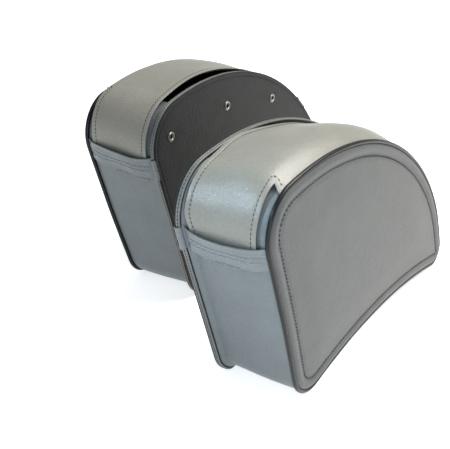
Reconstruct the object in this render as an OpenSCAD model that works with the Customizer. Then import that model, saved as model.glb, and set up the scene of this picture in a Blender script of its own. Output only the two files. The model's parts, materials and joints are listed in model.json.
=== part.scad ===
/* [Outline] */
// Height of the outer face, from the floor to its crown
face_h = 274; // [240:1:300]
// Distance of the crown behind the front of the bag
crown_x = 97; // [85:1:110]
// Radius of the long curve over the top and down the rear
crown_r = 363; // [350:1:380]
// Radius of the upper front corner
corner_r = 48; // [40:1:52]
// Radius of the rear bulge that rests on the floor
rear_r = 21; // [18:1:26]
// Radius of the lower front tip that rests on the floor
tip_r = 41; // [34:1:46]
// Distance of the tip's centre behind the front of the bag
tip_x = 96; // [88:1:104]
// Radius of the hollow curve along the bottom edge
belly_r = 700; // [600:10:900]

/* [Body] */
// Width of the bag, from outer face to back panel
bag_w = 103; // [90:1:130]
// Thickness of the vinyl skins
vinyl_t = 1.6; // [1.2:0.1:2]
// Thickness of the stiffening boards
board_t = 2.4; // [2:0.1:3]
// Thickness of the cloth linings
lining_t = 0.8; // [0.6:0.1:1]
// How far the side wall sits inside the outline
wall_in = 3; // [2.6:0.1:3.4]
// How far the back panel stands out past the outline
flange = 4.8; // [4:0.1:6]
// Width of the edge binding, across the back seam
binding_w = 4.4; // [4:0.1:5]
// Thickness of the piping round the outer face
piping_d = 4.8; // [4.4:0.1:5]

/* [Padding] */
// Distance from the outline to the edge of the padded field
field_in = 19; // [16:0.5:19]
// How far the padded field stands out
field_out = 2.4; // [1.6:0.1:3]

/* [Mouth and lid] */
// Where the mouth starts behind the front of the bag
mouth_front = 47; // [44:1:52]
// Where the mouth ends behind the front of the bag
mouth_rear = 296; // [280:1:300]
// Thickness of the lid sheet with its lining
lid_t = 2; // [1.8:0.1:2.1]
// Where the front notch is, behind the front of the bag
notch_front = 15; // [14:0.5:18]
// Where the rear notch is, behind the front of the bag
notch_rear = 304; // [302:1:340]
// Distance of the lid's fold line from the outer face
fold_in = 14; // [12:0.5:16]
// Distance of the lid's free edge from the back panel's face
lid_back_gap = 14; // [13.5:0.5:18]
// Gap between the moving lid and its fixed hinge strip
lid_gap = 0.4; // [0.35:0.05:0.6]

/* [Tongues and keepers] */
// Height of the front keeper's upper edge above the floor
keeper_front_z = 221; // [215:1:225]
// Height of each keeper band
keeper_h = 25; // [22:1:28]
// Angle of the rear keeper's upper edge on the crown curve, from the crown
keeper_rear_a = 41.5; // [41:0.1:44]
// How far the tongue ends stop above the keeper's lower edge
tongue_short = 4; // [3:0.5:6]
// Thickness of each keeper band
keeper_t = 1.8; // [1.6:0.1:2]
// Height of the reinforcing patches under the keepers
patch_h = 15; // [12:1:18]

/* [Eyelets] */
// Radius of the hole through an eyelet
eyelet_r = 3.2; // [3:0.1:3.6]
// Radius of the eyelet's flange
eyelet_flange_r = 6; // [5.6:0.1:6.4]
// Thickness of the eyelet's flange, pressed flush into the back panel
eyelet_flange_t = 0.8; // [0.6:0.1:1]
// Wall of the eyelet's barrel
eyelet_wall = 0.7; // [0.6:0.1:0.8]

/* [Pair] */
// Distance between the two back panels at the front of the far bag
pair_gap = 119; // [110:1:140]
// How far the right bag stands behind the left one
pair_step = 118; // [100:1:130]
// How far the right bag is turned from parallel
pair_turn = 3; // [0:0.5:4]
// Number of segments in each curve of the outline
curve_n = 18; // [10:1:24]

/* [Hidden] */
$fn = 48;

// Eyelet places on the back panel: behind the front of the bag, and above the floor
eyelet_places = [[29, 234], [152, 233], [267, 208]];

// Centres of the outline's four round stretches and of the hollow one under it.
// Each arc is tangent to the next, so an inset outline keeps the centres.
crown_c = [crown_x, face_h - crown_r];
corner_c = [corner_r, crown_c.y + sqrt(pow(crown_r - corner_r, 2) - pow(crown_x - corner_r, 2))];
rear_c = [crown_x + sqrt(pow(crown_r - rear_r, 2) - pow(rear_r - crown_c.y, 2)), rear_r];
tip_c = [tip_x, tip_r];
body_l = rear_c.x + rear_r;

// The hollow curve's centre is belly_r + tip_r from one round and belly_r + rear_r from the other
span = norm(rear_c - tip_c);
belly_along = (pow(belly_r + tip_r, 2) - pow(belly_r + rear_r, 2) + span * span) / (2 * span);
belly_down = sqrt(pow(belly_r + tip_r, 2) - belly_along * belly_along);
span_dir = (rear_c - tip_c) / span;
belly_c = tip_c + span_dir * belly_along + [span_dir.y, -span_dir.x] * belly_down;

// Direction of the straight front edge's outward normal
front_lean = atan2(tip_c.x - corner_c.x, corner_c.y - tip_c.y);
front_a = 180 + front_lean + asin((corner_r - tip_r) / norm(tip_c - corner_c));

function heading(v) = atan2(v.y, v.x);
function arc(c, r, a0, a1, n = curve_n) =
    [for (i = [0:n]) let (a = a0 + (a1 - a0) * i / n) c + r * [cos(a), sin(a)]];

corner_a = heading(corner_c - crown_c);
rear_a = heading(rear_c - crown_c);
belly_rear_a = heading(rear_c - belly_c);
belly_tip_a = heading(tip_c - belly_c);

// Closed outline moved inward by d
function outline(d) = concat(
    arc(crown_c, crown_r - d, corner_a, rear_a, 2 * curve_n),
    arc(rear_c, rear_r - d, rear_a, belly_rear_a - 180),
    arc(belly_c, belly_r + d, belly_rear_a, belly_tip_a),
    arc(tip_c, tip_r - d, belly_tip_a - 180, front_a - 360),
    arc(corner_c, corner_r - d, front_a, corner_a)
);

// Depths from the outer face
piping_v0 = 0.6;
piping_v1 = piping_v0 + piping_d;
skin_v = 2;
board_v = skin_v + vinyl_t;
wall_t = vinyl_t;
wall_v1 = bag_w - vinyl_t - binding_w;
lid_out = 0.3;
lid_in = lid_out + lid_t - lining_t;
inner_in = wall_in + wall_t + lining_t + 0.4;
eps = 0.01;
far = 600;

// Height that lies under the whole lid and over the rest of the front wall behind the notch
lid_floor = 185;

// Lid hinge line: touches the crown curve where it runs parallel to the line through the notches
function crown_z(x) = crown_c.y + sqrt(crown_r * crown_r - pow(x - crown_x, 2));
lid_slope = atan2(crown_z(notch_front + 10) - crown_z(notch_rear), notch_rear - notch_front - 10);
hinge_at = crown_c + (crown_r - lid_out) * [sin(lid_slope), cos(lid_slope)];
echo(hinge_x = hinge_at.x, hinge_z = hinge_at.y, lid_slope = lid_slope, body_l = body_l);

// The pair's plan, used to centre it on the origin
flange_pts = [for (p = outline(-flange)) [p.x, max(p.y, 0)]];
function turned(p) = [p.x * cos(pair_turn) - p.y * sin(pair_turn), p.x * sin(pair_turn) + p.y * cos(pair_turn)];
right_shift = [pair_step, bag_w + pair_gap];
right_plan = [
    for (p = flange_pts) for (v = [-0.9, vinyl_t]) turned([p.x, v]) + right_shift,
    for (p = outline(0)) turned([p.x, bag_w - piping_v0]) + right_shift,
    for (p = outline(field_in)) turned([p.x, bag_w - skin_v + vinyl_t + field_out]) + right_shift
];
plan_x = concat([for (p = flange_pts) p.x], [for (p = right_plan) p.x]);
plan_y = concat([skin_v - vinyl_t - field_out], [for (p = right_plan) p.y]);
centre = [(min(plan_x) + max(plan_x)) / 2, (min(plan_y) + max(plan_y)) / 2, 0];
echo(centre = centre, min_y = min(plan_y), max_y = max(plan_y));

// Stands a flat outline up, with v0 and v1 the depths from the outer face
module upright(v0, v1) {
    translate([0, v1, 0]) rotate([90, 0, 0]) linear_extrude(v1 - v0) children();
}

module plate(d, v0, v1) {
    upright(v0, v1) polygon(outline(d));
}

module band(d0, d1, v0, v1) {
    upright(v0, v1) difference() {
        polygon(outline(d0));
        polygon(outline(d1));
    }
}

// Everything between two distances behind the front, above a height
module above(x0, x1, z) {
    translate([x0, -far / 2, z]) cube([x1 - x0, far, far]);
}

// Slice of the rear slope between two angles on the crown curve
module rear_slice(a0, a1) {
    near = 0.9 * crown_r;
    upright(-far / 2, far / 2) polygon([
        crown_c + near * [sin(a0), cos(a0)],
        crown_c + far * [sin(a0), cos(a0)],
        crown_c + far * [sin(a1), cos(a1)],
        crown_c + near * [sin(a1), cos(a1)]
    ]);
}

// Slice of the front wall between two heights
module front_slice(z0, z1) {
    translate([-far / 2, -far / 2, z0]) cube([far / 2 + 60, far, z1 - z0]);
}

// Angle that a length covers on the crown curve
function crown_angle(len) = len / crown_r * 180 / PI;

// Holes from behind the back face down to a depth below it
module eyelet_holes(r, depth = 15) {
    for (p = eyelet_places)
        translate([p.x, bag_w + 5, p.y]) rotate([90, 0, 0]) cylinder(h = depth + 5, r = r);
}

// Vinyl face with a raised field over its foam
module outer_panel() {
    color("#848681") difference() {
        union() {
            plate(piping_d + 0.1, skin_v, board_v);
            plate(field_in, skin_v - field_out - vinyl_t + eps, skin_v + eps);
        }
        plate(field_in + vinyl_t, skin_v - field_out, board_v + 1);
    }
}

module foam_pad() {
    color("#d8d2b8") plate(field_in + vinyl_t + 0.1, skin_v - field_out + 0.05, board_v);
}

module outer_board() {
    color("#3a3a38") plate(inner_in, board_v, board_v + board_t);
}

module outer_lining() {
    color("#1d1f20") plate(inner_in, board_v + board_t, board_v + board_t + lining_t);
}

// Round cord in a folded strip, all round the outer seam
module piping() {
    color("#1c2021") {
        band(0, piping_d, piping_v0 + 1, piping_v1 - 1);
        band(0.8, piping_d - 0.2, piping_v0, piping_v0 + 1);
        band(0.8, piping_d - 0.2, piping_v1 - 1, piping_v1);
    }
}

// Front wall, bottom and rear wall in one strip, open at the mouth
module gusset() {
    color("#7d8284") difference() {
        band(wall_in, wall_in + wall_t, piping_v1, wall_v1);
        above(mouth_front, mouth_rear, lid_floor);
    }
}

module gusset_lining() {
    color("#1d1f20") difference() {
        band(wall_in + wall_t, wall_in + wall_t + lining_t, board_v + board_t, wall_v1);
        above(mouth_front + 1, mouth_rear - 1, lid_floor);
    }
}

// Flange outline, flattened where it stands on the floor
module flange_plate() {
    intersection() {
        polygon(outline(-flange));
        translate([-far, 0]) square([2 * far, far]);
    }
}

module back_panel() {
    color("#2b2e2f") difference() {
        upright(bag_w - vinyl_t, bag_w) flange_plate();
        eyelet_holes(eyelet_r + eyelet_wall);
        eyelet_holes(eyelet_flange_r, eyelet_flange_t);
    }
}

module back_board() {
    color("#3a3a38") difference() {
        plate(inner_in, bag_w - vinyl_t - board_t, bag_w - vinyl_t);
        eyelet_holes(eyelet_r + eyelet_wall);
    }
}

module back_lining() {
    color("#1d1f20") difference() {
        plate(inner_in, bag_w - vinyl_t - board_t - lining_t, bag_w - vinyl_t - board_t);
        eyelet_holes(eyelet_r + eyelet_wall);
    }
}

// Folded strip that closes the edge of the back seam
module back_binding() {
    color("#8a8f90") upright(wall_v1, bag_w - vinyl_t) difference() {
        flange_plate();
        polygon(outline(wall_in + wall_t));
    }
}

module eyelets() {
    stack = vinyl_t + board_t + lining_t;
    color("#b9bdbf") for (p = eyelet_places)
        translate([p.x, bag_w, p.y]) rotate([90, 0, 0]) difference() {
            union() {
                cylinder(h = eyelet_flange_t, r = eyelet_flange_r);
                cylinder(h = stack + 0.9, r = eyelet_r + eyelet_wall);
            }
            translate([0, 0, -2]) cylinder(h = stack + 5, r = eyelet_r);
        }
}

module eyelet_washers() {
    stack = vinyl_t + board_t + lining_t;
    color("#a8acae") for (p = eyelet_places)
        translate([p.x, bag_w - stack, p.y]) rotate([90, 0, 0]) difference() {
            cylinder(h = 0.7, r = eyelet_flange_r + 0.5);
            translate([0, 0, -1]) cylinder(h = 4, r = eyelet_r + eyelet_wall);
        }
}

// Margin of the lid that stays sewn to the outer seam
module hinge_strip() {
    color("#96948a") intersection() {
        band(lid_out, wall_in, piping_v1, fold_in);
        above(notch_front + 10, notch_rear, lid_floor);
    }
}

// Lid sheet behind the fold line, from notch to notch
module lid() {
    color("#96948a") intersection() {
        band(lid_out, lid_in, fold_in + lid_gap, bag_w - lid_back_gap);
        above(notch_front, notch_rear, lid_floor);
    }
}

module lid_lining() {
    color("#1d1f20") intersection() {
        band(lid_in, lid_in + lining_t, fold_in + lid_gap + 3, bag_w - lid_back_gap - 3);
        above(notch_front + 2, notch_rear - 2, lid_floor);
    }
}

// Ends of the lid sheet, tucked behind the keepers
module tongue_front() {
    color("#8c8d87") intersection() {
        difference() {
            band(lid_out, lid_out + lid_t, fold_in - 1, bag_w - lid_back_gap - 1);
            above(notch_front, far, 0);
        }
        front_slice(keeper_front_z - keeper_h + tongue_short, far);
    }
}

module tongue_rear() {
    color("#8c8d87") intersection() {
        band(lid_out, lid_out + lid_t, fold_in - 1, bag_w - lid_back_gap - 1);
        rear_slice(0, keeper_rear_a + crown_angle(keeper_h - tongue_short));
        above(notch_rear, far, 0);
    }
}

// Band that bridges over a tongue, with a sewn foot at each side
module keeper_shape() {
    lift = 0.2;
    foot = 5;
    band(-lift - keeper_t, -lift, piping_v1 + 0.4, wall_v1);
    band(-lift - eps, wall_in, piping_v1 + 0.4, piping_v1 + foot);
    band(-lift - eps, wall_in, wall_v1 - foot + 1, wall_v1);
}

module keeper_front() {
    color("#7d8284") intersection() {
        keeper_shape();
        front_slice(keeper_front_z - keeper_h, keeper_front_z);
    }
}

module keeper_rear() {
    color("#7d8284") intersection() {
        keeper_shape();
        rear_slice(keeper_rear_a, keeper_rear_a + crown_angle(keeper_h));
    }
}

// Patches that back the keepers' lower seams
module patch_shape() {
    band(wall_in - 1.4, wall_in, 0.28 * bag_w, 0.83 * bag_w);
}

module patch_front() {
    top = keeper_front_z - keeper_h - 1;
    color("#7d8284") intersection() {
        patch_shape();
        front_slice(top - patch_h, top);
    }
}

module patch_rear() {
    start = keeper_rear_a + crown_angle(keeper_h + 1);
    color("#7d8284") intersection() {
        patch_shape();
        rear_slice(start, start + crown_angle(patch_h));
    }
}

// Placement of the left bag
module left_bag() {
    translate(-centre) children();
}

// The right bag is the mirror image, stepped back and turned a little
module right_bag() {
    translate([right_shift.x, right_shift.y, 0] - centre) rotate([0, 0, pair_turn])
        translate([0, bag_w, 0]) mirror([0, 1, 0]) children();
}

left_bag() outer_panel();  // left_outer_panel
left_bag() foam_pad();  // left_foam_pad
left_bag() outer_board();  // left_outer_board
left_bag() outer_lining();  // left_outer_lining
left_bag() piping();  // left_piping
left_bag() gusset();  // left_gusset
left_bag() gusset_lining();  // left_gusset_lining
left_bag() back_panel();  // left_back_panel
left_bag() back_board();  // left_back_board
left_bag() back_lining();  // left_back_lining
left_bag() back_binding();  // left_back_binding
left_bag() eyelets();  // left_eyelets
left_bag() eyelet_washers();  // left_eyelet_washers
left_bag() hinge_strip();  // left_hinge_strip
left_bag() lid();  // left_lid
left_bag() lid_lining();  // left_lid_lining
left_bag() tongue_front();  // left_tongue_front
left_bag() tongue_rear();  // left_tongue_rear
left_bag() keeper_front();  // left_keeper_front
left_bag() keeper_rear();  // left_keeper_rear
left_bag() patch_front();  // left_patch_front
left_bag() patch_rear();  // left_patch_rear
right_bag() outer_panel();  // right_outer_panel
right_bag() foam_pad();  // right_foam_pad
right_bag() outer_board();  // right_outer_board
right_bag() outer_lining();  // right_outer_lining
right_bag() piping();  // right_piping
right_bag() gusset();  // right_gusset
right_bag() gusset_lining();  // right_gusset_lining
right_bag() back_panel();  // right_back_panel
right_bag() back_board();  // right_back_board
right_bag() back_lining();  // right_back_lining
right_bag() back_binding();  // right_back_binding
right_bag() eyelets();  // right_eyelets
right_bag() eyelet_washers();  // right_eyelet_washers
right_bag() hinge_strip();  // right_hinge_strip
right_bag() lid();  // right_lid
right_bag() lid_lining();  // right_lid_lining
right_bag() tongue_front();  // right_tongue_front
right_bag() tongue_rear();  // right_tongue_rear
right_bag() keeper_front();  // right_keeper_front
right_bag() keeper_rear();  // right_keeper_rear
right_bag() patch_front();  // right_patch_front
right_bag() patch_rear();  // right_patch_rear
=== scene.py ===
import json
import math

import bmesh
import bpy
import numpy as np
from mathutils import Matrix, Vector, geometry, noise


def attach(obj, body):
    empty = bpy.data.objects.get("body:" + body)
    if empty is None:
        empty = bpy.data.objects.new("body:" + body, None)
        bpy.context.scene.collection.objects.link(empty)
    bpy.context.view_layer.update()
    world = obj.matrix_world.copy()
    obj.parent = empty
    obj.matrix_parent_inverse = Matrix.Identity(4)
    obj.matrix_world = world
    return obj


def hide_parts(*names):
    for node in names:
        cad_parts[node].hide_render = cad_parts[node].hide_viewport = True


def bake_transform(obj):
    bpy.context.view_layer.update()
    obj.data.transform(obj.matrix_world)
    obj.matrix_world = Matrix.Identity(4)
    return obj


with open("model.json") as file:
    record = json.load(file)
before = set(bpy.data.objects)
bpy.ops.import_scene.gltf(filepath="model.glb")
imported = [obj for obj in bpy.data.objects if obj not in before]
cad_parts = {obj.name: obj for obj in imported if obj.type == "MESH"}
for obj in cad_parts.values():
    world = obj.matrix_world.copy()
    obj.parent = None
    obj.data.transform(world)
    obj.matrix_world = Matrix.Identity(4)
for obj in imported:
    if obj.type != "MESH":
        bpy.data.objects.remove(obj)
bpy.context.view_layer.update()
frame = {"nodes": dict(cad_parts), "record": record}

# Sizes below are in millimetres, in each bag's own frame: u rearward from the front of the bag,
# v from the outer face towards the back panel, z up from the floor. d is the distance inside the outline.
MM = 0.001
SIDES = ("left", "right")

# The outline's arcs, as in the CAD solids
FACE_H = 274
CROWN_X, CROWN_R = 97, 363
CORNER_R, REAR_R = 48, 21
TIP_X, TIP_R = 96, 41
BELLY_R = 700
BAG_W = 103
FACE_AT = (200, BAG_W, 100)
MIDDLE = (200, 50, 110)
HINGE_U, HINGE_Z = 150, 260

# Seams, mouth, lid and keepers
WALL_IN = 3
SEAM_V = 5.0
BINDING_V = 97.0
FOLD_V = 14.0
NOTCH_FRONT, NOTCH_REAR = 33, 296
NOTCH_OPEN = 8.5
MOUTH_FRONT, MOUTH_REAR = 47, 296
KEEPER_TOP_Z, KEEPER_H = 221, 25
KEEPER_REAR_A = 41.5
TONGUE_SHORT = 4
GROOVE_D = 18.0

# Thickness of each sheet, and how far its cut edges are rounded
FACE_T, FACE_RIM = 1.1, 0.3
GUSSET_T, GUSSET_RIM = 1.3, 0.35
BACK_T, BACK_RIM = 1.2, 0.3
LID_T, LID_RIM = 1.3, 0.45
KEEPER_T, KEEPER_RIM = 1.7, 0.55
PATCH_T, PATCH_RIM = 1.5, 0.45
LINING_T, LINING_RIM = 0.5, 0.15

# Least height of a sheet's surface and of thread over the floor
SHEET_GAP, THREAD_GAP = 0.15, 0.05
THREAD_LIFT = 0.02

# One seed for each noise that shapes a sheet
SEED_BORDER, SEED_BORDER_FINE = 3, 4
SEED_BACK, SEED_BACK_FINE = 8, 9
SEED_GUSSET, SEED_GUSSET_FINE, SEED_WRINKLE = 11, 12, 13
SEED_GUSSET_CLOTH, SEED_WALL_CLOTH = 14, 15
SEED_LID = {"left": 21, "right": 41}
SEED_KEEPER, SEED_PATCH = 31, 33

# Each bag has settled a little differently. In order: how far the top of its outer face leans out, how
# high its lid is crowned, over which stretch beyond the front keeper the crown comes up, how sharply the
# lid rolls up out of the outer seam, where its free edge lies, and how far that edge moves out to touch
# the back seam. LID_EDGE is the free edge's inset, as (path length, inset).
LEAN = {"left": 3.2, "right": 4.6}
LEAN_Z = 130
CROWN = {"left": 8.6, "right": 9.8}
CROWN_START = {"left": (12, 70), "right": (-4, 54)}
LID_ROLL = {"left": 2.4, "right": 6.0}
LID_EDGE_V = {"left": 93.8, "right": 89.5}
LID_TOUCH = {"left": 3.6, "right": 0.0}
LID_TOUCH_S, LID_TOUCH_SPAN = 538, 26
LID_EDGE = {
    "left": [(405, -0.6), (450, -1.8), (490, -3.2), (525, -4.6), (560, -4.4), (600, -1.6), (650, -0.2),
             (700, 0.4), (760, -0.5), (830, -1.6), (900, -0.8)],
    "right": [(405, -0.8), (440, -4.4), (480, -6.0), (507, -8.0), (540, -10.0), (584, -9.4), (635, -7.0),
              (700, -5.0), (780, -3.4), (850, -2.0), (900, -1.4)],
}


# ---- outline

class Outline:
    """Side outline as points and outward normals, clockwise from the middle of the bottom edge:
    front tip, front edge, upper front corner, crown, rear bulge and back."""

    def __init__(self, step=0.5):
        crown = np.array([CROWN_X, FACE_H - CROWN_R])
        rise = math.sqrt((CROWN_R - CORNER_R) ** 2 - (CROWN_X - CORNER_R) ** 2)
        corner = np.array([CORNER_R, crown[1] + rise])
        reach = math.sqrt((CROWN_R - REAR_R) ** 2 - (REAR_R - crown[1]) ** 2)
        rear = np.array([CROWN_X + reach, REAR_R])
        tip = np.array([TIP_X, TIP_R])
        span = np.linalg.norm(rear - tip)
        along = ((BELLY_R + TIP_R) ** 2 - (BELLY_R + REAR_R) ** 2 + span ** 2) / (2 * span)
        down = math.sqrt((BELLY_R + TIP_R) ** 2 - along ** 2)
        way = (rear - tip) / span
        belly = tip + way * along + np.array([way[1], -way[0]]) * down

        def heading(v):
            return math.atan2(v[1], v[0])

        lean = math.atan2(tip[0] - corner[0], corner[1] - tip[1])
        lean += math.asin((CORNER_R - TIP_R) / np.linalg.norm(tip - corner))
        front = math.pi + lean
        middle = math.pi / 2
        points, normals = [], []

        def arc(centre, radius, a0, a1, side=1):
            n = max(2, int(abs(a1 - a0) * radius / step))
            for a in np.linspace(a0, a1, n, endpoint=False):
                out = np.array([math.cos(a), math.sin(a)])
                points.append(centre + radius * out)
                normals.append(side * out)

        arc(belly, BELLY_R, middle, heading(tip - belly), -1)
        arc(tip, TIP_R, heading(tip - belly) - math.pi, front - 2 * math.pi)
        out = np.array([math.cos(front), math.sin(front)])
        low, high = tip + TIP_R * out, corner + CORNER_R * out
        for t in np.linspace(0, 1, int(np.linalg.norm(high - low) / step), endpoint=False):
            points.append(low + (high - low) * t)
            normals.append(out)
        arc(corner, CORNER_R, front, heading(corner - crown))
        arc(crown, CROWN_R, heading(corner - crown), heading(rear - crown))
        arc(rear, REAR_R, heading(rear - crown), heading(rear - belly) - math.pi)
        arc(belly, BELLY_R, heading(rear - belly), middle, -1)
        self.crown = crown
        self.points = np.array(points)
        steps = np.linalg.norm(np.roll(self.points, -1, 0) - self.points, axis=1)
        self.length = steps.sum()
        self.s = np.r_[0, np.cumsum(steps)[:-1]]
        soft = np.exp(-0.5 * (np.arange(-12, 13) / 5.0) ** 2)
        soft /= soft.sum()
        wrapped = np.array(normals)
        wrapped = np.concatenate([wrapped[-12:], wrapped, wrapped[:12]])
        smooth = np.stack([np.convolve(wrapped[:, k], soft, "valid") for k in (0, 1)], 1)
        self.normals = smooth / np.linalg.norm(smooth, axis=1)[:, None]

    def look(self, table, s):
        """A table with one row per outline point, read at path length s."""
        s = np.mod(s, self.length)
        grid = np.r_[self.s, self.length]
        return np.stack([np.interp(s, grid, np.r_[table[:, k], table[0, k]]) for k in (0, 1)], -1)

    def at(self, s, d=0.0):
        """Points (u, z) at path length s and inset d."""
        s = np.asarray(s, float)
        return self.look(self.points, s) - self.look(self.normals, s) * np.asarray(d, float)[..., None]

    def on_top(self, u):
        """Path length of the point of the top at distance u behind the front."""
        p = self.points
        top = (p[:, 1] > 222) | ((p[:, 0] > CROWN_X) & (self.s > self.s[p[:, 1].argmax()])
                                 & (self.s < self.s[p[:, 0].argmax()]))
        return float(np.interp(u, p[top, 0], self.s[top]))

    def on_front(self, z):
        """Path length of the point of the front edge at height z."""
        p = self.points
        edge = (p[:, 0] < CROWN_X) & (self.s < self.s[p[:, 1].argmax()]) & (self.s > self.s[p[:, 1].argmin()])
        return float(np.interp(z, p[edge, 1], self.s[edge]))

    def at_angle(self, degrees):
        """Path length of the point of the crown curve at an angle behind the crown."""
        return self.on_top(CROWN_X + CROWN_R * math.sin(math.radians(degrees)))


OUT = Outline()
S_NOTCH_F, S_NOTCH_R = OUT.on_top(NOTCH_FRONT), OUT.on_top(NOTCH_REAR)
S_MOUTH_F, S_MOUTH_R = OUT.on_top(MOUTH_FRONT), OUT.on_top(MOUTH_REAR)
S_KEEP_F = OUT.on_front(KEEPER_TOP_Z)
S_KEEP_R = OUT.at_angle(KEEPER_REAR_A)


# ---- placing and mesh helpers

def ease(t):
    t = np.clip(t, 0, 1)
    return t * t * (3 - 2 * t)


def hump(x, width):
    """1 at x = 0, falling off smoothly on both sides."""
    return np.exp(-(x / width) ** 2)


def mix(a, b, t):
    return a + (b - a) * t


class Bag:
    """Turns a bag's own coordinates into the row frame, from the mount on its back panel."""

    def __init__(self, side):
        self.side = side
        mount = next(m for m in frame["record"]["mounts"] if m["name"] == side + "_back_face")
        self.n = np.array(mount["axis"], float)
        self.origin = np.array(mount["pos_m"], float)
        u = np.cross(self.n, (0, 0, 1))
        self.u = u if u[0] > 0 else -u
        self.mirrored = np.cross(self.u, self.n)[2] < 0

    def world(self, p, settled=True):
        """Row-frame points, in metres. Settled points lean out with the bag's outer face."""
        p = np.asarray(p, float)
        u, v, z = p[..., 0:1], p[..., 1:2], p[..., 2:3]
        if settled:
            v = v - LEAN[self.side] * ease(z / LEAN_Z) * (1 - v / BAG_W)
        q = (u - FACE_AT[0]) * self.u + (v - FACE_AT[1]) * self.n + (z - FACE_AT[2]) * np.array([0, 0, 1.0])
        return self.origin + q * MM


def local(s, v, d):
    """(u, v, z) of points at path length s, depth v and inset d."""
    s, v, d = np.broadcast_arrays(np.asarray(s, float), np.asarray(v, float), np.asarray(d, float))
    q = OUT.at(s, d)
    return np.stack([q[..., 0], v, np.maximum(q[..., 1], SHEET_GAP)], -1)


def piece(bag, name, points, faces, material):
    """New object from points in the bag's own frame. Faces wind outward on the left bag."""
    mesh = bpy.data.meshes.new(bag.side + "_" + name)
    faces = [tuple(int(i) for i in f) for f in faces]
    if bag.mirrored:
        faces = [f[::-1] for f in faces]
    mesh.from_pydata([tuple(p) for p in bag.world(points)], [], faces)
    mesh.validate()
    mesh.polygons.foreach_set("use_smooth", [True] * len(mesh.polygons))
    mesh.update()
    obj = bpy.data.objects.new(bag.side + "_" + name, mesh)
    bpy.context.scene.collection.objects.link(obj)
    mesh.materials.append(material)
    return obj


def settle(obj):
    """Puts the result of the object's modifiers into its mesh."""
    graph = bpy.context.evaluated_depsgraph_get()
    mesh = bpy.data.meshes.new_from_object(obj.evaluated_get(graph))
    old = obj.data
    obj.modifiers.clear()
    obj.data = mesh
    bpy.data.meshes.remove(old)
    mesh.name = obj.name
    return obj


def thicken(obj, thickness, rim):
    """Gives a sheet its thickness on the inner side, with rounded rims."""
    solid = obj.modifiers.new("solid", "SOLIDIFY")
    solid.thickness, solid.offset, solid.use_even_offset = thickness * MM, -1, True
    bevel = obj.modifiers.new("bevel", "BEVEL")
    bevel.width, bevel.segments = rim * MM, 2
    bevel.limit_method, bevel.angle_limit = "ANGLE", math.radians(50)
    settle(obj)
    for vertex in obj.data.vertices:
        vertex.co.z = max(vertex.co.z, 0.0)
    obj.data.polygons.foreach_set("use_smooth", [True] * len(obj.data.polygons))
    return obj


def sheet(bag, name, points, faces, material, thickness, rim):
    """New sheet that faces away from the bag's middle, with its thickness inward."""
    obj = piece(bag, name, points.reshape(-1, 3), faces, MATS[material])
    b = bmesh.new()
    b.from_mesh(obj.data)
    middle = Vector(bag.world(MIDDLE))
    score = sum(f.normal.dot(f.calc_center_median() - middle) * f.calc_area() for f in b.faces)
    if score < 0:
        bmesh.ops.reverse_faces(b, faces=b.faces)
    b.to_mesh(obj.data)
    b.free()
    return thicken(obj, thickness, rim)


def standing(verts, v):
    """(u, v, z) of flat (u, z) points at depth v."""
    return np.stack([verts[:, 0], np.broadcast_to(v, len(verts)), verts[:, 1]], 1)


def round_ring(n):
    """Path lengths of n points round the whole outline."""
    return np.linspace(0, OUT.length, n, endpoint=False)


def grid_faces(ni, nj, loop_i=False, loop_j=False, keep=None):
    faces = []
    for i in range(ni if loop_i else ni - 1):
        for j in range(nj if loop_j else nj - 1):
            if keep is None or keep(i, j):
                a, b = (i + 1) % ni, (j + 1) % nj
                faces.append((i * nj + j, a * nj + j, a * nj + b, i * nj + b))
    return faces


def turned(faces, points, back, sample=0):
    """The faces, all reversed unless the sample face looks towards the back panel (or away from it)."""
    p = points[list(faces[sample][:3])]
    looks_back = np.cross(p[1] - p[0], p[2] - p[0])[1] > 0
    return faces if looks_back == back else [f[::-1] for f in faces]


def skirted(rings, field, rim, faces):
    """Joins rings of points to a triangulated field with the edge rim: points, quads and triangles."""
    n = len(rings[0])
    base = len(rings) * n
    numbers = [np.arange(k * n, (k + 1) * n) for k in range(len(rings))] + [np.array(rim) + base]
    quads = []
    for a, b in zip(numbers, numbers[1:]):
        for i in range(n):
            j = (i + 1) % n
            quads.append((a[i], a[j], b[j], b[i]))
    return np.concatenate(rings + [field]), quads, [tuple(base + i for i in f) for f in faces]


def distance_to(edge, points):
    """Distance of each point from the nearest point of an edge."""
    return np.array([np.linalg.norm(edge - p, axis=1).min() for p in points])


def ripple(p, size, seed):
    """Smooth noise from -1 to 1, with features of about size millimetres, at points (..., 3)."""
    flat = np.asarray(p, float).reshape(-1, 3) / size
    shift = Vector((seed * 7.3, seed * 3.1, seed * 5.7))
    values = [noise.noise(Vector(q) + shift) for q in flat]
    return np.array(values).reshape(np.asarray(p).shape[:-1])


def follow(table, x):
    """Smooth curve through (x, value) pairs."""
    t = np.array(table, float)
    xs, ys = t[:, 0], t[:, 1]
    slope = np.gradient(ys, xs)
    i = np.clip(np.searchsorted(xs, x) - 1, 0, len(xs) - 2)
    h = xs[i + 1] - xs[i]
    w = np.clip((np.asarray(x, float) - xs[i]) / h, 0, 1)
    a, b = 2 * w ** 3 - 3 * w ** 2 + 1, w ** 3 - 2 * w ** 2 + w
    c, e = -2 * w ** 3 + 3 * w ** 2, w ** 3 - w ** 2
    return a * ys[i] + b * h * slope[i] + c * ys[i + 1] + e * h * slope[i + 1]


def path_lengths(points):
    return np.r_[0, np.cumsum(np.linalg.norm(np.diff(points, axis=0), axis=1))]


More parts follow.
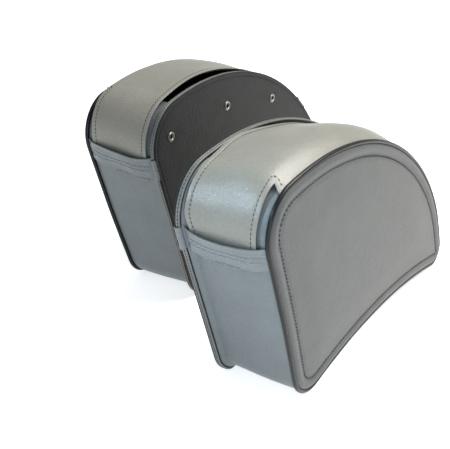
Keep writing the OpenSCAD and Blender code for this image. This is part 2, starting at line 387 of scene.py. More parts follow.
def stitches(bag, name, runs, material, length, pitch, radius):
    """Thread stitches along runs of (points, outward directions) in the bag's own frame."""
    rings, sides = 5, 6
    verts, faces = [], []
    for points, outward in runs:
        points, outward = np.asarray(points, float), np.asarray(outward, float)
        run = path_lengths(points)
        count = max(1, int(run[-1] / pitch))
        spacing = run[-1] / count
        for k in range(count):
            middle = (k + 0.5) * spacing

            def look(table, at):
                return np.array([np.interp(at, run, table[:, c]) for c in range(3)])

            a, b = look(points, middle - length / 2), look(points, middle + length / 2)
            out = look(outward, middle)
            out /= np.linalg.norm(out)
            along = b - a
            size = np.linalg.norm(along)
            if size < 0.3 * length:
                continue
            along /= size
            across = np.cross(along, out)
            base = len(verts)
            for i in range(rings):
                t = i / (rings - 1)
                bow = math.sin(math.pi * t)
                r = radius * (0.55 + 0.45 * bow)
                centre = a + (b - a) * t + out * (THREAD_LIFT + radius * 0.7 * bow)
                for j in range(sides):
                    w = 2 * math.pi * j / sides
                    verts.append(centre + r * (math.cos(w) * across + math.sin(w) * out))
            for i in range(rings - 1):
                for j in range(sides):
                    n = (j + 1) % sides
                    faces.append((base + i * sides + j, base + i * sides + n,
                                  base + (i + 1) * sides + n, base + (i + 1) * sides + j))
            faces.append(tuple(base + j for j in range(sides))[::-1])
            faces.append(tuple(base + (rings - 1) * sides + j for j in range(sides)))
    verts = np.array(verts)
    verts[:, 2] = np.maximum(verts[:, 2], THREAD_GAP)
    return piece(bag, name, verts, faces, material)


def round_run(d, v, n, towards=0):
    """Run of stitches round the whole outline. They face along v, or away from the outline."""
    s = np.linspace(0, OUT.length, n)
    return local(s, v, d), np.tile([0, float(towards), 0], (n, 1)) if towards else along_normals(s)


def along_normals(s):
    """Outward directions (u, v, z) of the outline at path length s."""
    n = OUT.look(OUT.normals, np.asarray(s, float))
    return np.stack([n[..., 0], np.zeros(n.shape[:-1]), n[..., 1]], -1)


def fill_flat(ring, spacing, holes=()):
    """Triangles inside a closed ring of 2D points, with round holes. Ring points come first."""
    ring = [Vector(p) for p in ring]
    points = list(ring)
    edges = [(i, (i + 1) % len(ring)) for i in range(len(ring))]
    for (cx, cy), r in holes:
        start, n = len(points), 28
        for k in range(n):
            a = 2 * math.pi * k / n
            points.append(Vector((cx + r * math.cos(a), cy + r * math.sin(a))))
            edges.append((start + k, start + (k + 1) % n))
    outline = np.array(ring)
    low, high = outline.min(0), outline.max(0)
    rows = int((high[1] - low[1]) / (spacing * 0.866)) + 2
    cols = int((high[0] - low[0]) / spacing) + 2
    a, b = outline, np.roll(outline, -1, 0)
    for j in range(rows):
        for i in range(cols):
            p = low + np.array([(i + 0.5 * (j % 2)) * spacing, j * spacing * 0.866])
            crossing = (a[:, 1] > p[1]) != (b[:, 1] > p[1])
            x = a[crossing, 0] + (p[1] - a[crossing, 1]) * (b - a)[crossing, 0] / (b - a)[crossing, 1]
            if (x > p[0]).sum() % 2 == 0:
                continue
            if np.linalg.norm(a - p, axis=1).min() < 0.75 * spacing:
                continue
            if any(math.hypot(p[0] - c[0], p[1] - c[1]) < r + 0.5 * spacing for c, r in holes):
                continue
            points.append(Vector(p))
    verts, _, faces, origins, _, _ = geometry.delaunay_2d_cdt(points, edges, [], 1, 1e-5)
    order = {}
    for new, old in enumerate(origins):
        for o in old:
            order[o] = new
    ring_now = [order[i] for i in range(len(ring))]
    verts = np.array([tuple(v) for v in verts])
    kept = []
    for f in faces:
        c = verts[list(f)].mean(0)
        if all(math.hypot(c[0] - q[0], c[1] - q[1]) > r * 0.98 for q, r in holes):
            kept.append(tuple(f))
    return verts, kept, ring_now


# ---- materials

class Finish:
    """A material being built. Texture scales are features per metre, bump distances are metres."""

    def __init__(self, name):
        self.mat = bpy.data.materials.new(name)
        self.mat.use_nodes = True
        self.link = self.mat.node_tree.links.new
        self.coords = self.add("TexCoord").outputs["Object"]

    def add(self, kind, **values):
        node = self.mat.node_tree.nodes.new("ShaderNode" + kind)
        for key, value in values.items():
            if key in node.inputs:
                node.inputs[key].default_value = value
            else:
                setattr(node, key, value)
        return node

    def texture(self, kind, output="Fac", at=None, **values):
        node = self.add("Tex" + kind, **values)
        self.link(self.coords if at is None else at, node.inputs["Vector"])
        return node.outputs[output]

    def ramp(self, source, low, high, p0=0.3, p1=0.7):
        """Colour from low to high, while the source goes from p0 to p1."""
        node = self.add("ValToRGB")
        first, last = node.color_ramp.elements
        first.position, last.position = p0, p1
        first.color, last.color = (*low, 1), (*high, 1)
        self.link(source, node.inputs["Fac"])
        return node.outputs["Color"]

    def spread(self, source, low, high, top=1.0):
        """Number from low to high, while the source goes from 0 to top."""
        node = self.add("MapRange", **{"From Max": top, "To Min": low, "To Max": high})
        self.link(source, node.inputs["Value"])
        return node.outputs["Result"]

    def multiply(self, a, b, factor):
        node = self.add("Mix", data_type="RGBA", blend_type="MULTIPLY", Factor=factor)
        self.link(a, node.inputs["A"])
        self.link(b, node.inputs["B"])
        return node.outputs["Result"]

    def bump(self, height, strength, distance, under=None):
        node = self.add("Bump", Strength=strength, Distance=distance)
        self.link(height, node.inputs["Height"])
        if under is not None:
            self.link(under, node.inputs["Normal"])
        return node.outputs["Normal"]

    def shade(self, color, rough, normal, **values):
        """Feeds the shader from sockets or with plain numbers, and returns the material."""
        shader = self.mat.node_tree.nodes["Principled BSDF"]
        values.update({"Base Color": color, "Roughness": rough, "Normal": normal})
        for key, value in values.items():
            target = shader.inputs[key.replace("_", " ")]
            if isinstance(value, bpy.types.NodeSocket):
                self.link(value, target)
            else:
                target.default_value = value
        return self.mat


def tint(color, k):
    return tuple(min(1.0, c * k) for c in color)


def vinyl(name, color, rough=0.42, grain=0.9, cell=1.25, contrast=0.10, shine=0.3):
    """Embossed vinyl: fine pebble grain, faint creases, tone that varies at random, and painted shade that
    darkens the valleys between the pebbles.
    """
    m = Finish(name)
    offset = m.add("VectorMath", operation="MULTIPLY_ADD")
    m.link(m.texture("Noise", "Color", Scale=420.0, Detail=2.0), offset.inputs[0])
    offset.inputs[1].default_value = (0.0007, 0.0007, 0.0007)
    m.link(m.coords, offset.inputs[2])
    pebble = m.texture("Voronoi", "Distance", offset.outputs["Vector"], Scale=1000.0 / cell,
                       feature="DISTANCE_TO_EDGE")
    bead = m.spread(pebble, 0.0, 1.0, 0.28)
    fine = m.texture("Noise", Scale=2400.0, Detail=3.0, Roughness=0.6)
    broad = m.texture("Noise", Scale=38.0, Detail=4.0, Roughness=0.55)
    mottle = m.texture("Noise", Scale=260.0, Detail=3.0, Roughness=0.6)
    base = m.ramp(broad, tint(color, 1 - contrast), tint(color, 1 + contrast))
    speck = m.ramp(mottle, [0.95] * 3, [1.04] * 3, 0.35, 0.65)
    # Painted shade: the grain's valleys are darkened towards the cell edges.
    valley_shade = m.ramp(bead, [0.78] * 3, [1.0] * 3, 0.0, 0.5)
    tone_and_valley_shade = m.multiply(m.multiply(base, speck, 1.0), valley_shade, 0.7)
    crease = m.bump(mottle, 0.35, 0.0012)
    skin = m.bump(bead, 0.35 * grain, 0.00022, crease)
    pore = m.bump(fine, 0.25 * grain, 0.00008, skin)
    uneven = m.spread(mottle, rough - 0.03, rough + 0.04)
    return m.shade(tone_and_valley_shade, uneven, pore, Specular_IOR_Level=shine)


def thread(name, color):
    """Twisted polyester thread."""
    m = Finish(name)
    ply = m.texture("Wave", Scale=900.0, Distortion=2.0)
    return m.shade(m.ramp(ply, tint(color, 0.7), tint(color, 1.25)), 0.6, m.bump(ply, 0.5, 0.0001))


def cloth(name, color, threads=1400.0):
    """Plain woven backing cloth."""
    m = Finish(name)
    cross = m.add("Math", operation="MULTIPLY")
    for k, way in enumerate("XZ"):
        bands = m.texture("Wave", Scale=threads / 6.28, bands_direction=way, Distortion=0.6)
        m.link(bands, cross.inputs[k])
    weave = cross.outputs["Value"]
    shade = m.ramp(weave, tint(color, 0.6), tint(color, 1.4), 0.1, 0.8)
    return m.shade(shade, 0.85, m.bump(weave, 0.4, 0.0002), Sheen_Weight=0.3)


def porous(name, color, scale, rough=0.9):
    """Foam or fibre board: small open cells."""
    m = Finish(name)
    cells = m.texture("Voronoi", "Distance", Scale=scale)
    shade = m.ramp(cells, tint(color, 1.1), tint(color, 0.6), 0.2, 0.8)
    return m.shade(shade, rough, m.bump(cells, 0.5, 0.0003))


def plated(name, color, rough):
    """Nickel plate with fine scratches and dull patches."""
    m = Finish(name)
    dull = m.texture("Noise", Scale=500.0, Detail=5.0)
    uneven = m.spread(dull, rough - 0.1, rough + 0.15)
    return m.shade(m.ramp(dull, tint(color, 0.75), color), uneven, m.bump(dull, 0.15, 0.0001), Metallic=1.0)


MATS = {
    # Painted shade: the face's colour is much darker than the lid's, for the shade on the upright outer face.
    "face": vinyl("face_vinyl", (0.080, 0.083, 0.083), rough=0.46, contrast=0.05, shine=0.20),
    # Painted light: the lid's colour is lighter and warm, for the warm top lamp on the upward-facing lid.
    "lid": vinyl("lid_vinyl", (0.192, 0.189, 0.166), rough=0.32, grain=0.9, contrast=0.04, shine=0.45),
    # Painted shade and blue light: the gusset's colour is darker than the lid's and tinted blue, for the
    # shaded upright walls under blue front light.
    "side": vinyl("side_vinyl", (0.124, 0.143, 0.152), rough=0.40, contrast=0.06, shine=0.28),
    "binding": vinyl("binding_vinyl", (0.13, 0.136, 0.130), rough=0.28, cell=0.9, shine=0.4),
    # Painted shade and blue light: the keepers' colour is tinted blue like the gusset's.
    "keeper": vinyl("keeper_vinyl", (0.136, 0.153, 0.159), rough=0.34, contrast=0.06),
    "back": vinyl("back_vinyl", (0.011, 0.0125, 0.0125), rough=0.55, cell=1.0, contrast=0.2, shine=0.18),
    "piping": vinyl("piping_vinyl", (0.004, 0.005, 0.006), rough=0.34, grain=0.15, shine=0.25),
    "lining": cloth("lining_cloth", (0.010, 0.011, 0.012)),
    "dark_thread": thread("dark_thread", (0.010, 0.011, 0.013)),
    "pale_thread": thread("pale_thread", (0.24, 0.27, 0.29)),
    # Painted reflection: the nickel's colour is kept dark, for the dark surroundings the eyelets reflect,
    # besides its dull plate.
    "nickel": plated("eyelet_nickel", (0.30, 0.29, 0.26), 0.36),
    "foam": porous("foam", (0.62, 0.57, 0.44), 900.0),
    "board": porous("board", (0.05, 0.05, 0.048), 1500.0, 0.8),
}


# ---- outer face

# Cross-section of the border from the piping to the stitched groove: (inset, depth)
BORDER = [(4.0, 5.4), (4.2, 3.6), (4.8, 1.8), (6.0, 0.5), (7.8, -0.5), (10.0, -0.9), (12.4, -0.7),
          (14.4, -0.1), (16.0, 0.5), (17.2, 1.0), (GROOVE_D, 1.2)]
FIELD_V, FIELD_RISE = -0.1, 3.6
PUFF_H, PUFF_REACH = 2.6, 45.0
PUFF_FRAMES, PUFF_SMOOTHING = 25, 30
BOARD_V = 3.55
RING_N = 320


def face_field():
    """Padded field of the outer face: (u, z) points, depths and triangles, puffed by a cloth run."""
    s = round_ring(RING_N)
    ring = OUT.at(s, GROOVE_D)
    verts, faces, rim = fill_flat(ring, 3.4)
    away = distance_to(verts[rim], verts)
    depth = mix(BORDER[-1][1], FIELD_V, ease(away / FIELD_RISE))
    points = standing(verts, depth)
    points = puff(points, faces, set(rim))
    return points, faces, rim, away


def puff(points, faces, pinned):
    """Depths of the field after it is run as cloth, held at the seam and pressed outward: the padding's
    height sets how far the middle stands out, and the foam under the skin evens out small buckles."""
    mesh = bpy.data.meshes.new("puff")
    mesh.from_pydata([tuple(p * MM) for p in points], [], faces)
    obj = bpy.data.objects.new("puff", mesh)
    bpy.context.scene.collection.objects.link(obj)
    hold = obj.vertex_groups.new(name="hold")
    hold.add(list(pinned), 1.0, "REPLACE")
    sim = obj.modifiers.new("cloth", "CLOTH")
    cfg = sim.settings
    cfg.quality, cfg.mass = 6, 0.25
    cfg.tension_stiffness = cfg.compression_stiffness = 25
    cfg.shear_stiffness, cfg.bending_stiffness = 12, 1.5
    cfg.vertex_group_mass = "hold"
    cfg.use_pressure, cfg.uniform_pressure_force = True, 0.35
    cfg.effector_weights.gravity = 0
    sim.collision_settings.use_self_collision = False
    scene = bpy.context.scene
    for n in range(1, PUFF_FRAMES + 1):
        scene.frame_set(n)
    graph = bpy.context.evaluated_depsgraph_get()
    done = obj.evaluated_get(graph).data
    co = np.empty(len(done.vertices) * 3)
    done.vertices.foreach_get("co", co)
    rise = np.abs(co.reshape(-1, 3)[:, 1] / MM - points[:, 1])
    scene.frame_set(1)
    edges = np.array([e.vertices[:] for e in mesh.edges])
    bpy.data.objects.remove(obj)
    degree = np.bincount(edges.ravel(), minlength=len(points))
    held = np.isin(np.arange(len(points)), list(pinned))
    for _ in range(PUFF_SMOOTHING):
        around = np.bincount(edges[:, 0], rise[edges[:, 1]], len(points))
        around += np.bincount(edges[:, 1], rise[edges[:, 0]], len(points))
        rise = np.where(held, 0.0, 0.4 * rise + 0.6 * around / degree)
    rise *= PUFF_H / np.percentile(rise, 98)
    out = points.copy()
    out[:, 1] -= rise
    return out


FIELD = face_field()


def outer_face(bag):
    """Skin of the outer face: a convex border ring, the stitched groove and the padded field."""
    field, faces, rim, _ = FIELD
    s = round_ring(RING_N)
    rings = []
    for d, v in BORDER[:-1]:
        ring = local(s, v, d)
        soft = ripple(ring, 60, SEED_BORDER) * 0.35 + ripple(ring, 14, SEED_BORDER_FINE) * 0.12
        ring[:, 1] += soft * ease((d - 4) / 5)
        rings.append(ring)
    points, quads, tris = skirted(rings, field, rim, faces)
    everything = turned(quads, points, False) + turned(tris, points, False)
    obj = piece(bag, "face_skin", points, everything, MATS["face"])
    thicken(obj, FACE_T, FACE_RIM)
    return obj


def foam_sheet(bag):
    """Foam that fills the padded field, from under the skin down to the board."""
    field, faces, _, away = FIELD
    inner = field.copy()
    inner[:, 1] += 1.3 + 1.2 * (1 - ease(away / 6))
    inner[:, 1] = np.minimum(inner[:, 1], BOARD_V - 0.25)
    flat = field.copy()
    flat[:, 1] = BOARD_V
    keep = [f for f in faces if away[list(f)].min() > 2]
    n = len(field)
    points = np.concatenate([inner, flat])
    used = {}
    for f in keep:
        for a, b in zip(f, f[1:] + f[:1]):
            used[(a, b)] = used.get((a, b), 0) + 1
    border = [(a, b) for a, b in used if (b, a) not in used]
    mesh_faces = list(keep) + [tuple(i + n for i in f[::-1]) for f in keep]
    mesh_faces += [(a, a + n, b + n, b) for a, b in border]
    return piece(bag, "foam_sheet", points, turned(mesh_faces, points, False), MATS["foam"])


# ---- seams

def tube_loop(bag, name, section, material, wave=0.0, n=400):
    """Closed loop along the outline with a closed cross-section of (inset, depth) points."""
    section = np.array(section, float)
    points = []
    for at in round_ring(n):
        shift = wave * noise.noise(Vector((at / 45, 2.0, 0)))
        points.append(local(np.full(len(section), at), section[:, 1] + shift, section[:, 0]))
    faces = grid_faces(n, len(section), True, True)
    return outward(piece(bag, name, np.concatenate(points), faces, MATS[material]))


def outward(obj):
    """Makes a closed mesh's normals point out."""
    b = bmesh.new()
    b.from_mesh(obj.data)
    bmesh.ops.recalc_face_normals(b, faces=b.faces)
    b.to_mesh(obj.data)
    b.free()
    return obj


# Cross-sections, as (inset, depth). The piping is a round bead with its strip's flat margin in the seam.
PIPING = [(2.55 - 2.55 * math.cos(a), 3.1 - 2.5 * math.sin(a)) for a in np.linspace(-2.5, 2.5, 13)]
PIPING += [(5.2, 4.4), (6.2, 3.6), (5.2, 3.0)]
# The back seam is a black welt, with a pale strip folded over its edge. The welt's black front, between the
# gusset and the strip, is painted shade for the seam's valley.
WELT_AND_VALLEY_SHADE = [(3.6, 101.0), (3.6, 98.2), (2.2, 97.3), (0.5, 97.4), (-1.2, 97.6), (-2.6, 97.7), (-3.4, 98.0),
        (-3.6, 101.0)]
BINDING = [(-2.6, 101.0), (-2.5, 97.6), (-3.0, 97.0), (-3.7, 96.9), (-4.5, 97.1), (-4.95, 97.7), (-4.8, 98.4),
           (-4.35, 98.8), (-4.35, 99.2), (-4.8, 99.5), (-5.15, 100.1), (-5.1, 100.8), (-4.6, 101.3),
           (-3.6, 101.4)]
BINDING_STITCH = (-4.5, 99.0)


# ---- back panel

# Cross-section of the back panel's edge, from under the binding to the flat field
BACK_EDGE = [(-2.0, 101.5), (-4.2, 101.3), (-5.0, 101.6), (-5.15, 102.1), (-4.8, 102.7), (-3.9, 103.05),
             (-2.2, 103.1), (-0.8, 103.0), (-0.1, 102.7), (0.4, 102.55), (0.9, 102.7), (1.6, 103.0),
             (3.0, 103.05)]
BACK_STITCH = (0.4, 102.55)


def eyelet_places():
    """(u, z) of the left bag's eyelets, from their mounts. The right bag's are the same, mirrored."""
    found = []
    bag = Bag("left")
    for m in frame["record"]["mounts"]:
        if m["name"].startswith("left_eyelet"):
            p = (np.array(m["pos_m"]) - bag.origin) / MM
            found.append((float(p @ bag.u) + FACE_AT[0], float(p[2]) + FACE_AT[2]))
    return found


EYELETS = eyelet_places()
WALL_STACK = 4.8
EYELET_R = frame["record"]["mounts"][0]["dims"]["r_mm"]


def back_panel(bag):
    """Black back panel: its rolled edge with the stitch groove, and a field that dips at the eyelets."""
    n = 300
    s = round_ring(n)
    rings = [local(s, v, d) for d, v in BACK_EDGE[:-1]]
    field_d, field_v = BACK_EDGE[-1]
    ring = local(s, field_v, field_d)[:, [0, 2]]
    verts, faces, rim = fill_flat(ring, 6.0, [(p, EYELET_R + 0.8) for p in EYELETS])
    field = standing(verts, field_v)
    soft = ripple(field, 70, SEED_BACK) * 0.3 + ripple(field, 25, SEED_BACK_FINE) * 0.1
    for p in EYELETS:
        near = np.hypot(verts[:, 0] - p[0], verts[:, 1] - p[1])
        soft = soft * ease((near - 6) / 14) - 0.3 * (1 - ease((near - 6) / 5))
    field[:, 1] += soft * ease(distance_to(ring, verts) / 12)
    points, quads, tris = skirted(rings, field, rim, faces)
    everything = turned(quads, points, True, sample=-n) + turned(tris, points, True)
    obj = piece(bag, "back_skin", points, everything, MATS["back"])
    return thicken(obj, BACK_T, BACK_RIM)


# Sections of an eyelet, a barrel with a rolled flange, and of the washer inside it: (radius, depth) offsets
EYELET = [(0.75, -5.5), (0, -5.6), (-0.02, -1.0), (0.15, 0.2), (0.6, 0.75), (1.3, 0.98), (2.0, 0.85),
          (2.6, 0.4), (2.85, -0.1), (2.2, -0.3), (0.75, -0.4)]
COLLAR = [(0.8, -0.05), (0.8, -0.8), (1.4, -1.1), (2.6, -0.9), (3.3, -0.3), (3.2, -0.05)]


def eyelet_part(bag, name, section, depth, n=32):
    """One ring at each eyelet, turned about the eyelet's axis."""
    verts, faces = [], []
    for u, z in EYELETS:
        base = len(verts)
        for k in range(n):
            a = 2 * math.pi * k / n
            for r, v in section:
                r += EYELET_R
                verts.append((u + r * math.cos(a), v + depth, z + r * math.sin(a)))
        faces += [tuple(base + i for i in f) for f in grid_faces(n, len(section), True, True)]
    return outward(piece(bag, name, np.array(verts), faces, MATS["nickel"]))


# ---- gusset

def gusset_inset(v):
    """Inset of the gusset's outer surface: it dips at the outer seam, bows faintly between the seams and
    turns out into the back seam."""
    across = (v - SEAM_V) / (BINDING_V - SEAM_V)
    outer_seam = 1.2 * np.exp(-((v - SEAM_V) / 2.2))
    back_seam = -4.4 * hump(BINDING_V - v, 2.6)
    bow = -0.9 * np.sin(np.pi * np.clip(across, 0, 1))
    return WALL_IN + outer_seam + back_seam + bow


def gusset(bag):
    """Gusset skin from the rear of the mouth round the bottom to the front, slack between its seams and
    wrinkled across below the front keeper."""
    length = S_MOUTH_F + OUT.length - S_MOUTH_R
    ni = int(length / 3.0)
    s = np.linspace(S_MOUTH_R, S_MOUTH_F + OUT.length, ni)
    near_face = [SEAM_V - 0.6, 5.2, 6.2, 7.6, 9.4]
    near_back = [92.4, 94.2, 95.4, 96.4, BINDING_V + 0.4]
    v = np.r_[near_face, np.linspace(12, 90, 27), near_back]
    S, V = np.meshgrid(s, v, indexing="ij")
    D = gusset_inset(V)
    points = local(S, V, D)
    soft = ripple(points, 55, SEED_GUSSET) * 0.7 + ripple(points, 22, SEED_GUSSET_FINE) * 0.22
    inside = ease((V - SEAM_V) / 12) * ease((BINDING_V - V) / 12)
    below_keeper = hump(np.mod(S, OUT.length) - (S_KEEP_F - KEEPER_H - 14), 22.0)
    across = np.stack([V * 0.5, S * 1.6, V * 0], -1)
    wrinkle = ripple(across, 11, SEED_WRINKLE) * 0.35 * below_keeper
    points = local(S, V, D + (soft + wrinkle) * inside)
    return sheet(bag, "gusset_skin", points, grid_faces(ni, len(v)), "side", GUSSET_T, GUSSET_RIM)


def gusset_lining(bag):
    ni = 240
    s = np.linspace(S_MOUTH_R + 2, S_MOUTH_F + OUT.length - 2, ni)
    v = np.linspace(6.9, 97.0, 24)
    S, V = np.meshgrid(s, v, indexing="ij")
    D = np.full(S.shape, WALL_IN + 2.0)
    D = D + 0.3 * ripple(local(S, V, D), 30, SEED_GUSSET_CLOTH)
    faces = grid_faces(ni, len(v))
    return sheet(bag, "gusset_cloth", local(S, V, D), faces, "lining", LINING_T, LINING_RIM)


def plate_lining(bag, name, v, towards):
    """Lining cloth of a flat wall, slightly slack; towards is +1 or -1, the side its face looks to."""
    n = 200
    s = round_ring(n)
    ring = OUT.at(s, 6.0)
    holes = [(p, EYELET_R + 0.8) for p in EYELETS] if towards < 0 else []
    verts, faces, rim = fill_flat(ring, 7.0, holes)
    points = standing(verts, v)
    away = distance_to(verts[rim], verts)
    slack = np.abs(ripple(points, 50, SEED_WALL_CLOTH)) * 0.8 * ease(away / 20)
    for p in EYELETS:
        slack *= ease((np.hypot(verts[:, 0] - p[0], verts[:, 1] - p[1]) - 8) / 12)
    points[:, 1] += towards * slack
    obj = piece(bag, name, points, turned(faces, points, towards > 0), MATS["lining"])
    return thicken(obj, LINING_T, LINING_RIM)


# ---- lid

HEM = 5.5
CROWN_V = 38.0
TONGUE_V = 88.5
END_RISE = 1.2
CROWN_REAR, CROWN_REAR_SPAN = 12, 90
SEAM_INSET, OPEN_INSET = 3.2, 0.2


def lid_inset(bag, s, v):
    """Inset of the lid's outer surface: it rolls up out of the outer seam, swells to its crown, and
    comes down to its free edge."""
    body = ease((s - S_NOTCH_F + 14) / 14) * ease((S_NOTCH_R + 14 - s) / 14)
    start, span = CROWN_START[bag.side]
    ends = ease((s - S_KEEP_F - start) / span) * ease((S_KEEP_R - CROWN_REAR - s) / CROWN_REAR_SPAN)
    crown = -END_RISE - (CROWN[bag.side] - END_RISE) * ends
    edge = follow(LID_EDGE[bag.side], s)
    up = np.clip((v - SEAM_V + 0.4) / (CROWN_V - SEAM_V), 0, 1)
    rise = 1 - (1 - up) ** LID_ROLL[bag.side]
    outer = (SEAM_INSET * body + OPEN_INSET * (1 - body)) * (1 - rise) + crown * rise
    inner = crown + (edge - crown) * ease((v - CROWN_V) / (LID_EDGE_V[bag.side] - CROWN_V))
    return np.where(v < CROWN_V, outer, inner)


def hem_relief(from_edge):
    """Relief of a turned hem at a distance inside its edge: a thicker fold and a stitched groove."""
    fold = -0.45 * ease((HEM + 1.0 - from_edge) / 1.6)
    groove = 0.55 * hump(from_edge - HEM, 0.8)
    return fold + groove


def lid_shape(bag, s, v):
    """Inset of the lid with its hems: all along the free edge, and on the tongues' outer edges."""
    tongue = (s < S_NOTCH_F) | (s > S_NOTCH_R)
    hems = hem_relief(LID_EDGE_V[bag.side] - v) + np.where(tongue, hem_relief(v - FOLD_V), 0.0)
    return lid_inset(bag, s, v) + hems


def notch_shift(s, v):
    """Shears the lid's ends so that each notch is a narrow V with its point on the tongue's edge."""
    k = NOTCH_OPEN * np.clip((FOLD_V - v) / (FOLD_V - SEAM_V), 0, 1.05)
    front = np.clip(1 - (s - S_NOTCH_F) / 40, 0, 1)
    rear = np.clip(1 - (S_NOTCH_R - s) / 40, 0, 1)
    return s - k * front + k * rear


def edge_drift(bag, s, v):
    """Draws the lid's back edge in where the tongues pass behind the keepers, and out where the lid
    touches the back seam."""
    tip = ease((S_KEEP_F + 14 - s) / 22) + ease((s - S_KEEP_R + 14) / 22)
    touch = LID_TOUCH[bag.side] * hump(s - LID_TOUCH_S, LID_TOUCH_SPAN)
    return v + (touch - (LID_EDGE_V[bag.side] - TONGUE_V) * tip) * ease((v - 45) / 44)


def lid_grid(bag):
    """Path lengths and depths of the lid's grid lines, closer together at its edges and hems."""
    s_end_f = S_KEEP_F - KEEPER_H + TONGUE_SHORT
    s_end_r = S_KEEP_R + KEEPER_H - TONGUE_SHORT
    front = np.linspace(s_end_f, S_NOTCH_F, int((S_NOTCH_F - s_end_f) / 2.6))
    top = np.linspace(S_NOTCH_F, S_NOTCH_R, int((S_NOTCH_R - S_NOTCH_F) / 3.0))
    rear = np.linspace(S_NOTCH_R, s_end_r, int((s_end_r - S_NOTCH_R) / 2.6))
    s = np.r_[front[:-1], top, rear[1:]]
    edge = LID_EDGE_V[bag.side]
    seam = [4.6, 5.4, 6.4, 7.6, 9, 10.6, 12.3]
    fold_hem = [FOLD_V, 15, 16.5, 18, 18.8, 19.5, 20.2, 21, 22.5]
    edge_hem = [edge - inner for inner in (8, 6.8, 6.1, 5.5, 4.9, 4, 2.5, 1, 0)]
    return s, np.r_[seam, fold_hem, np.linspace(25, edge - 10, 20), edge_hem]


def lid_soft(bag, s, v):
    """Slack of the lid sheet: broad swells, a few creases over the front shoulder, calm at its edges."""
    seed = SEED_LID[bag.side]
    flat = ease((v - 8) / 14) * ease((LID_EDGE_V[bag.side] - v) / 10)
    grid = np.stack([s, v, s * 0], -1)
    tongue = np.clip((S_NOTCH_F - 12 - s) / 30, 0, 1) + np.clip((s - S_NOTCH_R - 12) / 30, 0, 1)
    swell = ripple(grid, 62, seed) * 1.5 + ripple(grid, 26, seed + 1) * 0.45
    swell = swell * (1 - 0.75 * np.clip(tongue, 0, 1))
    shoulder = hump(s - S_NOTCH_F + 8, 26.0) * hump(v - 45, 30.0)
    crease = ripple(grid * (1, 0.4, 1), 10, seed + 2) * 0.45 * shoulder
    return (swell + crease) * flat


def lid_sheet(bag):
    """Lid, margin and both tongues in one sheet. Outside the notches the tongues have no margin."""
    s, v = lid_grid(bag)
    S, V = np.meshgrid(s, v, indexing="ij")
    points = local(notch_shift(S, V), edge_drift(bag, S, V), lid_shape(bag, S, V) + lid_soft(bag, S, V))
    fold = int(np.argmin(abs(v - FOLD_V)))
    first, last = int(np.argmin(abs(s - S_NOTCH_F))), int(np.argmin(abs(s - S_NOTCH_R)))
    faces = grid_faces(len(s), len(v), keep=lambda i, j: j >= fold or first <= i < last)
    used = sorted({i for f in faces for i in f})
    number = {old: new for new, old in enumerate(used)}
    faces = [[number[i] for i in f] for f in faces]
    return sheet(bag, "lid_sheet", points.reshape(-1, 3)[used], faces, "lid", LID_T, LID_RIM)


def lid_lining(bag):
    s = np.linspace(S_NOTCH_F + 3, S_NOTCH_R - 3, 130)
    v = np.linspace(7.5, LID_EDGE_V[bag.side] - 1.5, 34)
    S, V = np.meshgrid(s, v, indexing="ij")
    D = lid_inset(bag, S, V) + lid_soft(bag, S, V) + 1.9
    points = local(notch_shift(S, V), edge_drift(bag, S, V), D)
    faces = grid_faces(len(s), len(v))
    return sheet(bag, "lid_cloth", points, faces, "lining", LINING_T, LINING_RIM)


def lid_stitches(bag):
    """Dark thread along the free edge and round both tongues up to the notches."""
    def run(s, v, lift=0.1):
        d = lid_shape(bag, s, v) + lid_soft(bag, s, v) - lift
        return local(notch_shift(s, v), edge_drift(bag, s, v), d), along_normals(s)

    s0, s1 = lid_grid(bag)[0][[0, -1]]
    s = np.linspace(s0, s1, 900)
    runs = [run(s, np.full(len(s), LID_EDGE_V[bag.side] - HEM))]
    for end, notch, way in ((s0, S_NOTCH_F, 1), (s1, S_NOTCH_R, -1)):
        s = np.linspace(end, notch + way * 6, 160)
        runs.append(run(s, np.full(len(s), FOLD_V + HEM)))
        t = np.linspace(0, 1, 30)
        runs.append(run(notch + way * (6 + t), FOLD_V + HEM - (FOLD_V + HEM - SEAM_V - 2.2) * t, 0.3))
    return stitches(bag, "lid_stitches", runs, MATS["dark_thread"], length=2.5, pitch=4.4, radius=0.42)


# ---- keepers

# The band's path across the end wall, over the tongue and round the back seam: (position, depth, inset)
BAND_TOP = [(0, 5.4, 2.2), (4, 8.5, 0.2), (10, 14, -2.8), (26, 30, -6.4), (46, 50, -7.8), (66, 70, -6.8),
            (80, 84, -4.4), (87, 91, -2.8), (90, 93.4, -1.4), (93, 95.4, 0.6), (95.5, 96.4, -0.6),
            (99.5, 96.7, -4.8), (101.5, 98.2, -6.6), (104, 100.6, -6.9), (106, 102.4, -6.0),
            (107.5, 103.5, -4.6)]
BAND_LENGTH = 107.5
BAND_ROWS = (0.40, 0.62)
BAND_BOTTOM_MID = 4.0
# How far each bag's keepers sit below the pattern line, as (depth, drop)
KEEPER_DROP = {
    "left": [(0, 4.5), (50, 7.0), (80, 6.4), (97, 4.0)],
    "right": [(0, -2.0), (50, 3.4), (80, 6.6), (97, 4.4)],
}
KEEPER_SPREAD = 2.0
# The patch below each band: its depths along its upper and lower edge, and its height
PATCH_TOP, PATCH_LOW = (23, 84), (38, 80)
PATCH_H = 10.5
PATCH_ROW = 0.72
PALE_STITCH = {"length": 2.7, "pitch": 4.1, "radius": 0.55}


def band_point(bag, x, t, start, way):
    """Point of the keeper band x along its path and t from its upper edge (0) to its lower one (1)."""
    table = np.array(BAND_TOP)
    v = follow(table[:, [0, 1]], x)
    d = follow(table[:, [0, 2]], x) + BAND_BOTTOM_MID * t * hump(v - 50, 26.0)
    drop = follow(KEEPER_DROP[bag.side], v) + KEEPER_SPREAD * t
    return local(start - way * (KEEPER_H * t + drop), v, d)


